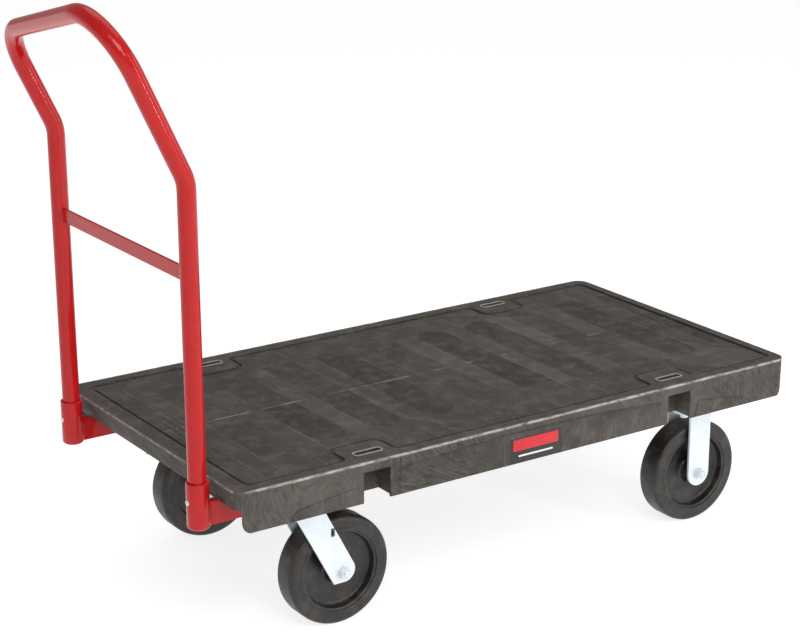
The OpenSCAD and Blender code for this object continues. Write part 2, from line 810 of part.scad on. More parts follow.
rigid_axle_nut_right();
rigid_axle_sleeve_right();
rigid_tyre_right();
rigid_core_right();
rigid_bearing_right();
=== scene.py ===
import math

import bmesh
import bpy
from mathutils import Matrix, Vector


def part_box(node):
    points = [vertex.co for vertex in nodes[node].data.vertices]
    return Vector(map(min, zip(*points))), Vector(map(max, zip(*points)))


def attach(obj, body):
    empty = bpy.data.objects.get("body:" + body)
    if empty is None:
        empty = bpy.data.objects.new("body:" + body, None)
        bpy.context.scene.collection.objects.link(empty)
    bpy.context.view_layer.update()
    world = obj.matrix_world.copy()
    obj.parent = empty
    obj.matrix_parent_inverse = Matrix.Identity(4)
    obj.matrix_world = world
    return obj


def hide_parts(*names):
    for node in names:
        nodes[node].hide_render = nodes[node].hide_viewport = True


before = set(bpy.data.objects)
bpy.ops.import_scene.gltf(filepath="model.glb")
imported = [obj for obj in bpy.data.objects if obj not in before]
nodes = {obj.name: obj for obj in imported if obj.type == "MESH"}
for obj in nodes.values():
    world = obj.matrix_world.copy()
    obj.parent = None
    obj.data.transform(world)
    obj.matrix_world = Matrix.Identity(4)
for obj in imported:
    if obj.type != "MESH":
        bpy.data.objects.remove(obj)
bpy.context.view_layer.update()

scene = bpy.context.scene
scene.view_settings.view_transform = "Standard"
print("frame loaded,", len(nodes), "nodes")

viewpoint = {"place": (-2.06328, -3.07697, 1.62869), "azimuth": -33.929, "elevation": 18.899,
             "roll": -0.167, "lens": 93.89, "shiftY": 0.0544}


def makeCamera(v):
    cameraData = bpy.data.cameras.new("camera")
    cameraData.lens = v["lens"]
    cameraData.shift_y = v["shiftY"]
    cameraData.clip_start = 0.05
    cameraData.clip_end = 150
    camera = bpy.data.objects.new("camera", cameraData)
    scene.collection.objects.link(camera)
    a, e = math.radians(v["azimuth"]), math.radians(v["elevation"])
    back = Vector((math.sin(a) * math.cos(e), -math.cos(a) * math.cos(e), math.sin(e)))
    turn = (-back).to_track_quat("-Z", "Y") @ Matrix.Rotation(math.radians(v["roll"]), 4, "Z").to_quaternion()
    camera.rotation_mode = "QUATERNION"
    camera.rotation_quaternion = turn
    camera.location = v["place"]
    scene.camera = camera


makeCamera(viewpoint)


def addNode(tree, kind, **settings):
    made = tree.nodes.new(kind)
    inputs = settings.pop("inputs", {})
    for key, value in settings.items():
        setattr(made, key, value)
    for key, value in inputs.items():
        if isinstance(value, bpy.types.NodeSocket):
            tree.links.new(value, made.inputs[key])
        else:
            made.inputs[key].default_value = value
    return made


def maths(tree, operation, a, b=0.0, clamp=False):
    made = addNode(tree, "ShaderNodeMath", operation=operation, use_clamp=clamp, inputs={0: a, 1: b})
    return made.outputs[0]


def rangeOf(tree, value, low, high, toLow=0.0, toHigh=1.0, smooth=False):
    made = addNode(tree, "ShaderNodeMapRange", inputs={0: value, 1: low, 2: high, 3: toLow, 4: toHigh})
    made.clamp = True
    made.interpolation_type = "SMOOTHSTEP" if smooth else "LINEAR"
    return made.outputs[0]


def blendColours(tree, factor, a, b, mode="MIX"):
    made = addNode(tree, "ShaderNodeMix", data_type="RGBA", blend_type=mode)
    for key, value in ((0, factor), (6, a), (7, b)):
        if isinstance(value, bpy.types.NodeSocket):
            tree.links.new(value, made.inputs[key])
        else:
            made.inputs[key].default_value = value
    return made.outputs[2]


def noise(tree, vector, scale, detail=3.0, roughness=0.55):
    made = addNode(tree, "ShaderNodeTexNoise",
                   inputs={"Vector": vector, "Scale": scale, "Detail": detail, "Roughness": roughness})
    return made.outputs[0]


def mapped(tree, vector, location=(0, 0, 0), turn=(0, 0, 0), scale=(1, 1, 1)):
    made = addNode(tree, "ShaderNodeMapping",
                   inputs={"Vector": vector, "Location": location, "Rotation": turn, "Scale": scale})
    return made.outputs[0]


def newGroup(name, inputs, outputs):
    group = bpy.data.node_groups.new(name, "ShaderNodeTree")
    for label, kind, value in inputs:
        socket = group.interface.new_socket(label, in_out="INPUT", socket_type=kind)
        if value is not None:
            socket.default_value = value
    for label, kind in outputs:
        group.interface.new_socket(label, in_out="OUTPUT", socket_type=kind)
    return group, group.nodes.new("NodeGroupInput"), group.nodes.new("NodeGroupOutput")


def srgb(r, g, b):
    def linear(v):
        v /= 255
        return v / 12.92 if v <= 0.04045 else ((v + 0.055) / 1.055) ** 2.4
    return (linear(r), linear(g), linear(b), 1.0)


# Fine pits and soft waviness of a moulded or painted skin
def makeGrainGroup():
    group, ins, outs = newGroup("skinGrain",
        [("Vector", "NodeSocketVector", None), ("Fine", "NodeSocketFloat", 900.0),
         ("Coarse", "NodeSocketFloat", 60.0), ("Balance", "NodeSocketFloat", 0.5)],
        [("Height", "NodeSocketFloat"), ("Mask", "NodeSocketFloat")])
    fine = addNode(group, "ShaderNodeTexNoise", inputs={"Vector": ins.outputs["Vector"],
                   "Scale": ins.outputs["Fine"], "Detail": 2.0, "Roughness": 0.6}).outputs[0]
    coarse = addNode(group, "ShaderNodeTexNoise", inputs={"Vector": ins.outputs["Vector"],
                     "Scale": ins.outputs["Coarse"], "Detail": 4.0, "Roughness": 0.55}).outputs[0]
    both = addNode(group, "ShaderNodeMix", data_type="FLOAT",
                   inputs={0: ins.outputs["Balance"], 2: fine, 3: coarse}).outputs[0]
    group.links.new(both, outs.inputs["Height"])
    group.links.new(rangeOf(group, coarse, 0.35, 0.65, smooth=True), outs.inputs["Mask"])
    return group


# Brushed, swirling flow marks left where foamed resin met the mould
def makeSwirlGroup():
    group, ins, outs = newGroup("flowMarks",
        [("Vector", "NodeSocketVector", None), ("Scale", "NodeSocketFloat", 8.0),
         ("Stretch", "NodeSocketFloat", 7.0), ("Bend", "NodeSocketFloat", 0.12)],
        [("Streaks", "NodeSocketFloat"), ("Clouds", "NodeSocketFloat")])
    bender = addNode(group, "ShaderNodeTexNoise", inputs={"Vector": ins.outputs["Vector"],
                     "Scale": 5.0, "Detail": 1.0})
    centred = addNode(group, "ShaderNodeVectorMath", operation="SUBTRACT",
                      inputs={0: bender.outputs[1], 1: (0.5, 0.5, 0.5)}).outputs[0]
    scaled = addNode(group, "ShaderNodeVectorMath", operation="SCALE",
                     inputs={0: centred, "Scale": ins.outputs["Bend"]}).outputs[0]
    bent = addNode(group, "ShaderNodeVectorMath", operation="ADD",
                   inputs={0: ins.outputs["Vector"], 1: scaled}).outputs[0]
    axes = addNode(group, "ShaderNodeSeparateXYZ", inputs={0: bent})
    stretched = addNode(group, "ShaderNodeCombineXYZ", inputs={
        0: maths(group, "MULTIPLY", axes.outputs[0], ins.outputs["Stretch"]),
        1: axes.outputs[1], 2: axes.outputs[2]}).outputs[0]
    streaks = addNode(group, "ShaderNodeTexNoise", inputs={"Vector": stretched,
                      "Scale": ins.outputs["Scale"], "Detail": 5.0, "Roughness": 0.65}).outputs[0]
    clouds = addNode(group, "ShaderNodeTexNoise", inputs={"Vector": bent,
                     "Scale": 3.2, "Detail": 3.0, "Roughness": 0.5}).outputs[0]
    group.links.new(rangeOf(group, streaks, 0.32, 0.7), outs.inputs["Streaks"])
    group.links.new(rangeOf(group, clouds, 0.3, 0.7, smooth=True), outs.inputs["Clouds"])
    return group


# Dust and scuffs, thicker on faces that look up
def makeDustGroup():
    group, ins, outs = newGroup("dust",
        [("Vector", "NodeSocketVector", None), ("Normal", "NodeSocketVector", None),
         ("Amount", "NodeSocketFloat", 0.3), ("Scale", "NodeSocketFloat", 25.0)],
        [("Mask", "NodeSocketFloat")])
    spread = addNode(group, "ShaderNodeTexNoise", inputs={"Vector": ins.outputs["Vector"],
                     "Scale": ins.outputs["Scale"], "Detail": 5.0, "Roughness": 0.7}).outputs[0]
    patches = rangeOf(group, spread, 0.42, 0.72, smooth=True)
    up = addNode(group, "ShaderNodeSeparateXYZ", inputs={0: ins.outputs["Normal"]}).outputs[2]
    facing = rangeOf(group, up, -0.4, 0.9, 0.35, 1.0)
    total = maths(group, "MULTIPLY", maths(group, "MULTIPLY", patches, facing), ins.outputs["Amount"],
                  clamp=True)
    group.links.new(total, outs.inputs["Mask"])
    return group


skinGrain = makeGrainGroup()
flowMarks = makeSwirlGroup()
dustGroup = makeDustGroup()


def startMaterial(name):
    material = bpy.data.materials.new(name)
    material.use_nodes = True
    tree = material.node_tree
    shader = tree.nodes["Principled BSDF"]
    coords = tree.nodes.new("ShaderNodeTexCoord")
    return material, tree, shader, coords


def placeGroup(tree, group, **inputs):
    made = tree.nodes.new("ShaderNodeGroup")
    made.node_tree = group
    for key, value in inputs.items():
        if isinstance(value, bpy.types.NodeSocket):
            tree.links.new(value, made.inputs[key])
        else:
            made.inputs[key].default_value = value
    return made


def addBump(tree, shader, height, strength, distance):
    bump = addNode(tree, "ShaderNodeBump",
                   inputs={"Strength": strength, "Distance": distance, "Height": height})
    tree.links.new(bump.outputs[0], shader.inputs["Normal"])


deckLow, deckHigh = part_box("deck")
deckMid = (deckLow + deckHigh) / 2
deckLook = {"ribPitch": 0.1163, "ribStart": -0.108, "tongueHalf": 0.035, "tongueEnd": 0.201,
            "middle": 0.009,
            "leftTongues": (0.45, 0.35, 0.3, 0.95, 0.35, 0.95, 0.95, 0.4, 0.95),
            "rightTongues": (0.4, 0.9, 0.8, 0.9, 0.35, 1.0, 0.95, 0.4, 1.0),
            "bands": ((-0.301, -0.258, 0.45, 0.8), (-0.192, -0.176, 0.2, 0.6), (0.036, 0.092, 0.8, 0.3),
                      (0.156, 0.198, 0.25, 1.0), (0.272, 0.317, 1.0, 0.45), (0.382, 0.432, 0.85, 0.15)),
            "base": srgb(68, 63, 58), "dark": srgb(38, 35, 32), "light": srgb(98, 92, 86),
            # the last colour below is pale wear and dust, also used as a painted highlight on the rim edges
            # and lip tops
            "wornAndHighlight": srgb(196, 190, 184), "roughness": 0.56, "specular": 0.28}


# A value that changes in steps along another, from (position, value) stops
def steppedValue(tree, value, stops):
    made = addNode(tree, "ShaderNodeValToRGB", inputs={0: value})
    ramp = made.color_ramp
    ramp.interpolation = "CONSTANT"
    while len(ramp.elements) < len(stops):
        ramp.elements.new(1.0)
    for element, (position, level) in zip(ramp.elements, stops):
        element.position = position
        element.color = (level, level, level, 1.0)
    return made.outputs[0]


# Darker tongues, pale bands and joint lines that the moulding leaves in the load surface
def makeRibGroup(look):
    group, ins, outs = newGroup("ribShadows", [("Vector", "NodeSocketVector", None)],
        [("Tongues", "NodeSocketFloat"), ("Bands", "NodeSocketFloat"), ("Lines", "NodeSocketFloat")])
    axes = addNode(group, "ShaderNodeSeparateXYZ", inputs={0: ins.outputs[0]})
    x, y = axes.outputs[0], axes.outputs[1]
    wave = maths(group, "SUBTRACT", noise(group, ins.outputs[0], 9.0, 2.0), 0.5)
    x = maths(group, "ADD", x, maths(group, "MULTIPLY", wave, 0.006))
    cell = maths(group, "DIVIDE", maths(group, "SUBTRACT", x, look["ribStart"]), look["ribPitch"])
    number = maths(group, "ROUND", cell)
    across = maths(group, "MULTIPLY", maths(group, "ABSOLUTE", maths(group, "SUBTRACT", cell, number)),
                   look["ribPitch"])
    side = maths(group, "SIGN", maths(group, "SUBTRACT", y, look["middle"]))
    counted = maths(group, "DIVIDE", maths(group, "ADD", number, 3.5), 9.0)
    stops = [[(i / 9, v) for i, v in enumerate(look[name])] for name in ("rightTongues", "leftTongues")]
    pick = addNode(group, "ShaderNodeMix", data_type="FLOAT", inputs={
        0: rangeOf(group, side, -1.0, 1.0), 2: steppedValue(group, counted, stops[0]),
        3: steppedValue(group, counted, stops[1])}).outputs[0]
    reach = maths(group, "SUBTRACT", maths(group, "ABSOLUTE", maths(group, "SUBTRACT", y, look["middle"])),
                  look["tongueEnd"] - look["tongueHalf"])
    beyond = maths(group, "MAXIMUM", reach, 0.0)
    distance = maths(group, "SQRT", maths(group, "ADD", maths(group, "MULTIPLY", across, across),
                     maths(group, "MULTIPLY", beyond, beyond)))
    inside = rangeOf(group, distance, look["tongueHalf"] - 0.0015, look["tongueHalf"] + 0.003, 1.0, 0.0, True)
    fade = rangeOf(group, noise(group, ins.outputs[0], 5.0, 2.0), 0.34, 0.54, 0.6, 1.0)
    strength = maths(group, "MULTIPLY", pick, fade)
    group.links.new(maths(group, "MULTIPLY", inside, strength), outs.inputs["Tongues"])
    # pale bands lie between some of the tongues, and stop at the same distance
    within = rangeOf(group, reach, 0.018, 0.036, 1.0, 0.0, True)
    halves = []
    for half in (1, 0):
        bandStops = [(0.0, 0.0)]
        for low, high, *values in look["bands"]:
            bandStops += [((low + 0.6) / 1.2, values[half]), ((high + 0.6) / 1.2, 0.0)]
        halves.append(steppedValue(group, rangeOf(group, x, -0.6, 0.6), bandStops))
    bands = addNode(group, "ShaderNodeMix", data_type="FLOAT",
                    inputs={0: rangeOf(group, side, -1.0, 1.0), 2: halves[0], 3: halves[1]}).outputs[0]
    bands = maths(group, "MULTIPLY", maths(group, "MULTIPLY", bands, within),
                  rangeOf(group, noise(group, ins.outputs[0], 11.0, 3.0), 0.3, 0.6, 0.3, 1.0))
    group.links.new(maths(group, "MULTIPLY", bands, fade), outs.inputs["Bands"])
    # thin pale lines: along the middle, and above the crosswise ribs
    middle = rangeOf(group, maths(group, "ABSOLUTE", maths(group, "SUBTRACT", y, look["middle"])),
                     0.0006, 0.0034, 1.0, 0.0)
    joint = rangeOf(group, maths(group, "ABSOLUTE",
                    maths(group, "SUBTRACT", across, look["tongueHalf"] + 0.0035)), 0.0, 0.002, 1.0, 0.0)
    broken = rangeOf(group, noise(group, ins.outputs[0], 14.0, 4.0, 0.7), 0.44, 0.62)
    both = maths(group, "MAXIMUM", middle, maths(group, "MULTIPLY", joint, 0.35))
    group.links.new(maths(group, "MULTIPLY", both, broken), outs.inputs["Lines"])
    return group


def makeDeckMaterial(look):
    material, tree, shader, coords = startMaterial("deckResin")
    place = mapped(tree, coords.outputs["Object"], location=(-deckMid.x, -deckMid.y, 0))
    axes = addNode(tree, "ShaderNodeSeparateXYZ", inputs={0: place})
    x, y, z = axes.outputs
    facing = addNode(tree, "ShaderNodeSeparateXYZ", inputs={0: coords.outputs["Normal"]})
    top = rangeOf(tree, facing.outputs[2], 0.5, 0.8)
    belowRim = rangeOf(tree, z, deckHigh.z - 0.0012, deckHigh.z - 0.0009, 1.0, 0.0)
    inField = maths(tree, "MULTIPLY", top, belowRim)
    topMarks = placeGroup(tree, flowMarks, Vector=mapped(tree, place, turn=(0, 0, 0.65)),
                          Scale=17.0, Stretch=6.5, Bend=0.2)
    leaned = mapped(tree, place, turn=(0, 0.5, 0), scale=(1.0, 0.4, 1.0))
    sideMarks = placeGroup(tree, flowMarks, Vector=leaned,
                           Scale=44.0, Stretch=7.0, Bend=0.26)
    ribs = placeGroup(tree, makeRibGroup(look), Vector=place)
    tiles = addNode(tree, "ShaderNodeTexVoronoi", voronoi_dimensions="2D", distance="CHEBYCHEV",
                    inputs={"Vector": mapped(tree, place, location=(0.03, 0.02, 0)), "Scale": 5.2,
                            "Randomness": 0.75})
    tile = addNode(tree, "ShaderNodeSeparateXYZ", inputs={0: tiles.outputs["Color"]}).outputs[0]

    colour = blendColours(tree, rangeOf(tree, topMarks.outputs["Clouds"], 0.0, 1.0, 0.78, 1.0),
                          look["dark"], look["base"])
    colour = blendColours(tree, rangeOf(tree, tile, 0.35, 0.9, 0.0, 0.34), colour, look["light"])
    colour = blendColours(tree, maths(tree, "MULTIPLY", ribs.outputs["Bands"], 0.62), colour, look["light"])
    colour = blendColours(tree, maths(tree, "MULTIPLY", ribs.outputs["Tongues"], 0.75), colour, look["dark"])
    colour = blendColours(tree, maths(tree, "MULTIPLY", topMarks.outputs["Streaks"], 0.2),
                          colour, look["light"])
    colour = blendColours(tree, maths(tree, "MULTIPLY", ribs.outputs["Lines"], 0.5), colour, look["wornAndHighlight"])
    rim = blendColours(tree, maths(tree, "MULTIPLY", topMarks.outputs["Streaks"], 0.4),
                       look["base"], look["light"])
    sides = blendColours(tree, maths(tree, "MULTIPLY", sideMarks.outputs["Streaks"], 0.8),
                         blendColours(tree, sideMarks.outputs["Clouds"], look["dark"], look["base"]),
                         look["light"])
    outer = blendColours(tree, top, sides, rim)
    colour = blendColours(tree, inField, outer, colour)
    # the rim's outer edges get a pale line in broken lengths: partly rubbed wear, partly a painted highlight
    # where the rounded edge catches the light
    nearSide = rangeOf(tree, maths(tree, "ABSOLUTE", y), (deckHigh.y - deckMid.y) - 0.006,
                       (deckHigh.y - deckMid.y) - 0.0018)
    nearEnd = rangeOf(tree, maths(tree, "ABSOLUTE", x), (deckHigh.x - deckMid.x) - 0.003,
                      (deckHigh.x - deckMid.x) - 0.0012)
    highUp = rangeOf(tree, z, deckHigh.z - 0.0050, deckHigh.z - 0.0018)
    brokenScuffAndHighlight = rangeOf(tree, noise(tree, mapped(tree, place, scale=(1.0, 3.0, 3.0)), 26.0, 5.0, 0.7), 0.36, 0.58)
    edge = maths(tree, "MULTIPLY", maths(tree, "MULTIPLY", maths(tree, "MAXIMUM", nearSide,
                 maths(tree, "MULTIPLY", nearEnd, 0.5)), highUp), brokenScuffAndHighlight)
    # the tops of the lips around the slots get a painted highlight in the same pale colour
    lipTopHighlight = maths(tree, "MULTIPLY", rangeOf(tree, z, deckHigh.z + 0.0004, deckHigh.z + 0.0014), 0.6)
    edge = maths(tree, "MAXIMUM", edge, lipTopHighlight)
    # the pale colour goes over the edge mask: rubbed wear plus painted highlight
    colour = blendColours(tree, maths(tree, "MULTIPLY", edge, 0.9), colour, look["wornAndHighlight"])
    dust = placeGroup(tree, dustGroup, Vector=place, Normal=coords.outputs["Normal"], Amount=0.09, Scale=32.0)
    colour = blendColours(tree, dust.outputs["Mask"], colour, look["wornAndHighlight"])
    tree.links.new(colour, shader.inputs["Base Color"])
    shader.inputs["Specular IOR Level"].default_value = look["specular"]
    shine = maths(tree, "ADD", look["roughness"] - 0.06,
                  maths(tree, "MULTIPLY", topMarks.outputs["Clouds"], 0.16))
    shine = maths(tree, "SUBTRACT", shine, maths(tree, "MULTIPLY", ribs.outputs["Bands"], 0.07))
    tree.links.new(shine, shader.inputs["Roughness"])
    grain = placeGroup(tree, skinGrain, Vector=place, Fine=620.0, Coarse=110.0, Balance=0.45)
    height = maths(tree, "ADD", grain.outputs["Height"], maths(tree, "MULTIPLY", sideMarks.outputs["Streaks"],
                                                              rangeOf(tree, top, 0.0, 1.0, 0.5, 0.1)))
    height = maths(tree, "SUBTRACT", height, maths(tree, "MULTIPLY", ribs.outputs["Tongues"], 0.25))
    addBump(tree, shader, height, 0.35, 0.0008)
    return material


def makeRedPaint():
    material, tree, shader, coords = startMaterial("redPaint")
    place = coords.outputs["Object"]
    grain = placeGroup(tree, skinGrain, Vector=place, Fine=420.0, Coarse=70.0, Balance=0.35)
    dust = placeGroup(tree, dustGroup, Vector=place, Normal=coords.outputs["Normal"], Amount=0.05, Scale=60.0)
    colour = blendColours(tree, grain.outputs["Mask"], srgb(178, 11, 12), srgb(184, 13, 14))
    colour = blendColours(tree, dust.outputs["Mask"], colour, srgb(205, 84, 76))
    chips = rangeOf(tree, noise(tree, place, 260.0, 2.0, 0.5), 0.74, 0.76)
    colour = blendColours(tree, chips, colour, srgb(120, 20, 20))
    tree.links.new(colour, shader.inputs["Base Color"])
    tree.links.new(rangeOf(tree, grain.outputs["Mask"], 0.0, 1.0, 0.3, 0.34), shader.inputs["Roughness"])
    shader.inputs["Specular IOR Level"].default_value = 0.12
    shader.inputs["Coat Weight"].default_value = 0.5
    shader.inputs["Coat Roughness"].default_value = 0.05
    addBump(tree, shader, grain.outputs["Height"], 0.05, 0.0004)
    return material


def makeZinc(name, pale, blue, metallic, roughness, grainScale):
    material, tree, shader, coords = startMaterial(name)
    place = coords.outputs["Object"]
    cloud = noise(tree, place, 30.0, 4.0, 0.6)
    spangle = addNode(tree, "ShaderNodeTexVoronoi", inputs={"Vector": place, "Scale": grainScale})
    flake = addNode(tree, "ShaderNodeSeparateXYZ", inputs={0: spangle.outputs["Color"]}).outputs[0]
    colour = blendColours(tree, rangeOf(tree, cloud, 0.35, 0.65), pale, blue)
    colour = blendColours(tree, maths(tree, "MULTIPLY", flake, 0.06), colour, srgb(170, 180, 188))
    dust = placeGroup(tree, dustGroup, Vector=place, Normal=coords.outputs["Normal"], Amount=0.06, Scale=70.0)
    colour = blendColours(tree, dust.outputs["Mask"], colour, srgb(150, 144, 138))
    tree.links.new(colour, shader.inputs["Base Color"])
    shader.inputs["Metallic"].default_value = metallic
    tree.links.new(maths(tree, "ADD", maths(tree, "MULTIPLY", flake, 0.1),
                   maths(tree, "ADD", maths(tree, "MULTIPLY", cloud, 0.16), roughness - 0.1)),
                   shader.inputs["Roughness"])
    addBump(tree, shader, noise(tree, place, 700.0, 3.0), 0.08, 0.0003)
    return material


def makeRubber(name, dark, light, bumpDepth, shine):
    material, tree, shader, coords = startMaterial(name)
    place = coords.outputs["Object"]
    grain = placeGroup(tree, skinGrain, Vector=place, Fine=500.0, Coarse=38.0, Balance=0.6)
    dust = placeGroup(tree, dustGroup, Vector=place, Normal=coords.outputs["Normal"], Amount=0.4, Scale=34.0)
    colour = blendColours(tree, grain.outputs["Mask"], dark, light)
    colour = blendColours(tree, dust.outputs["Mask"], colour, srgb(104, 98, 90))
    scuffs = rangeOf(tree, noise(tree, mapped(tree, place, scale=(1, 4, 1)), 90.0, 4.0, 0.75), 0.6, 0.74)
    colour = blendColours(tree, maths(tree, "MULTIPLY", scuffs, 0.3), colour, srgb(120, 112, 104))
    tree.links.new(colour, shader.inputs["Base Color"])
    tree.links.new(rangeOf(tree, grain.outputs["Mask"], 0.0, 1.0, shine, shine + 0.14),
                   shader.inputs["Roughness"])
    addBump(tree, shader, grain.outputs["Height"], 0.25, bumpDepth)
    return material


def makePlainMetal(name, tone, other, metallic, roughness):
    material, tree, shader, coords = startMaterial(name)
    place = coords.outputs["Object"]
    cloud = noise(tree, place, 55.0, 5.0, 0.65)
    lines = noise(tree, mapped(tree, place, scale=(1, 14, 1)), 160.0, 3.0)
    tree.links.new(blendColours(tree, rangeOf(tree, cloud, 0.35, 0.68), tone, other),
                   shader.inputs["Base Color"])
    shader.inputs["Metallic"].default_value = metallic
    tree.links.new(rangeOf(tree, lines, 0.3, 0.7, roughness, roughness + 0.18), shader.inputs["Roughness"])
    addBump(tree, shader, lines, 0.1, 0.0003)
    return material


def makePanelInk(name, tone, other, roughness):
    material, tree, shader, coords = startMaterial(name)
    place = coords.outputs["Object"]
    speck = noise(tree, place, 140.0, 4.0, 0.7)
    tree.links.new(blendColours(tree, rangeOf(tree, speck, 0.4, 0.7, 0.0, 0.6), tone, other),
                   shader.inputs["Base Color"])
    tree.links.new(rangeOf(tree, speck, 0.3, 0.7, roughness, roughness + 0.15), shader.inputs["Roughness"])
    addBump(tree, shader, speck, 0.08, 0.0002)
    return material


finishes = {
    "deck_resin": makeDeckMaterial(deckLook),
    "red_paint": makeRedPaint(),
    "zinc": makeZinc("zincPlate", srgb(236, 241, 246), srgb(224, 232, 240), 0.3, 0.34, 260.0),
    "bolt_zinc": makeZinc("boltZinc", srgb(236, 240, 243), srgb(206, 216, 224), 0.6, 0.28, 420.0),
    "tyre": makeRubber("tyreRubber", srgb(27, 23, 21), srgb(38, 34, 31), 0.0005, 0.38),
    "wheel_core": makeRubber("coreResin", srgb(21, 19, 18), srgb(31, 28, 27), 0.0003, 0.32),
    "beam_steel": makePlainMetal("beamSteel", srgb(120, 124, 128), srgb(92, 94, 98), 0.8, 0.42),
    "bare_steel": makePlainMetal("bareSteel", srgb(150, 152, 154), srgb(112, 110, 108), 0.9, 0.32),
    "brass": makePlainMetal("insertBrass", srgb(184, 152, 84), srgb(150, 118, 62), 0.9, 0.34),
    "badge": makePanelInk("badgeBlack", srgb(26, 25, 25), srgb(40, 38, 37), 0.32),
    "badgeRed": makePanelInk("badgeRed", srgb(206, 24, 34), srgb(190, 20, 28), 0.34),
    "badgePale": makePanelInk("badgePale", srgb(226, 224, 220), srgb(206, 202, 196), 0.3),
}
print("materials made,", len(finishes))


def newPiece(name, mesh, material, body, replaced=(), sharp=0.6):
    piece = bpy.data.objects.new(name, mesh)
    scene.collection.objects.link(piece)
    mesh.materials.clear()
    mesh.materials.append(material)
    mesh.shade_smooth()
    mesh.set_sharp_from_angle(angle=sharp)
    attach(piece, body)
    if replaced:
        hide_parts(*replaced)
    return piece


def toMesh(shape, name):
    bmesh.ops.remove_doubles(shape, verts=shape.verts, dist=1e-6)
    bmesh.ops.recalc_face_normals(shape, faces=shape.faces)
    mesh = bpy.data.meshes.new(name)
    shape.to_mesh(mesh)
    shape.free()
    return mesh


# A merged copy of a CAD node, with its flat faces whole again and its edges rounded
def roundedCopy(node, material, body, width, segments=2, angle=32, sharp=0.6, weigh=None):
    shape = bmesh.new()
    shape.from_mesh(nodes[node].data)
    bmesh.ops.remove_doubles(shape, verts=shape.verts, dist=2e-6)
    bmesh.ops.dissolve_limit(shape, angle_limit=math.radians(1.0), verts=shape.verts, edges=shape.edges)
    if weigh:
        layer = shape.edges.layers.float.new("bevel_weight_edge")
        shape.normal_update()
        for edge in shape.edges:
            edge[layer] = weigh(edge)
    mesh = bpy.data.meshes.new(node + "Rounded")
    shape.to_mesh(mesh)
    shape.free()
    piece = newPiece(node + "-rounded", mesh, material, body, (node,), sharp=sharp)
    bevel = piece.modifiers.new("edges", "BEVEL")
    bevel.width = width
    bevel.segments = segments
    bevel.limit_method = "WEIGHT" if weigh else "ANGLE"
    bevel.angle_limit = math.radians(angle)
    bevel.use_clamp_overlap = True
    bevel.harden_normals = True


# Turns a profile of (radius, height, rounding) about the Z axis
def lathed(profile, steps=96, closed=True):
    shape = bmesh.new()
    points = [shape.verts.new((r, 0, h)) for r, h, rounding in profile]
    count = len(points)
    for i in range(count if closed else count - 1):
        shape.edges.new((points[i], points[(i + 1) % count]))
    for point, (r, h, rounding) in zip(points, profile):
        if rounding > 0:
            bmesh.ops.bevel(shape, geom=[point], affect="VERTICES", offset=rounding, segments=4,
                            profile=0.5, material=-1)
    bmesh.ops.spin(shape, geom=shape.verts[:] + shape.edges[:], cent=(0, 0, 0), axis=(0, 0, 1),
                   angle=math.tau, steps=steps, use_merge=True, use_duplicate=False)
    bmesh.ops.remove_doubles(shape, verts=shape.verts, dist=1e-6)
    return shape


# Moves a shape turned about Z to lie along an axle, its top outwards
def layOnAxle(shape, centre, side):
    turn = Matrix.Rotation(math.radians(-90 * side), 4, "X")
    bmesh.ops.transform(shape, matrix=Matrix.Translation(centre) @ turn, verts=shape.verts)


# A hexagonal head or nut with its corners cut back on one face
def hexPrism(across, low, high, chamfer):
    shape = bmesh.new()
    cornerRadius = across / 2 / math.cos(math.pi / 6)
    made = bmesh.ops.create_circle(shape, cap_ends=True, segments=6, radius=cornerRadius)
    bmesh.ops.translate(shape, verts=made["verts"], vec=(0, 0, low))
    raised = bmesh.ops.extrude_face_region(shape, geom=shape.faces[:])
    top = [v for v in raised["geom"] if isinstance(v, bmesh.types.BMVert)]
    bmesh.ops.translate(shape, verts=top, vec=(0, 0, high - low))
    bmesh.ops.bevel(shape, geom=top, affect="VERTICES", offset=chamfer, segments=2,
                    profile=0.5, material=-1)
    bmesh.ops.recalc_face_normals(shape, faces=shape.faces)
    return shape


deckFit = {"edge": 0.003, "segments": 3, "bottom": 0.4, "rim": 0.24, "field": 0.24,
           "rimBand": 0.0125, "fieldDrop": 0.0015}


# How strongly an edge of the deck is rounded, from where it lies
def deckEdgeWeight(edge, f):
    if len(edge.link_faces) != 2 or edge.calc_face_angle(0.0) < math.radians(35):
        return 0.0
    a, b = (v.co - deckMid for v in edge.verts)
    near = 0.0004
    topZ = deckHigh.z - deckMid.z
    lowZ = deckLow.z - deckMid.z
    skirtY = deckHigh.y - deckMid.y - 0.001
    endX = deckHigh.x - deckMid.x
    ys = [abs(p.y) for p in (a, b)]
    if all(abs(p.z - topZ) < near for p in (a, b)):
        atEnd = max(abs(a.x), abs(b.x)) > endX - f["rimBand"]
        outside = min(ys) > skirtY - f["rimBand"] and (max(ys) > skirtY - near or atEnd)
        if outside and any(f.normal.z < 0.5 for f in edge.link_faces):
            return 1.0
        if all(abs(p.x) > endX - f["rimBand"] for p in (a, b)):
            return 1.0
        return f["rim"]
    if all(abs(p.z - (topZ - f["fieldDrop"])) < near for p in (a, b)):
        return f["field"]
    if all(y > skirtY - near for y in ys):
        if all(abs(p.z - lowZ) < near for p in (a, b)):
            return f["bottom"]
        return 0.0
    if all(abs(p.z - lowZ) < near for p in (a, b)) and all(y > skirtY - 0.006 for y in ys):
        return f["bottom"]
    return 0.0


roundedCopy("deck", finishes["deck_resin"], "chassis",
            deckFit["edge"], deckFit["segments"], weigh=lambda e: deckEdgeWeight(e, deckFit))

lip = {"x": 0.339, "shift": 0.006, "y": 0.2795, "length": 0.052, "width": 0.013, "corner": 0.004,
       "radius": 0.0036, "rise": 0.0022}


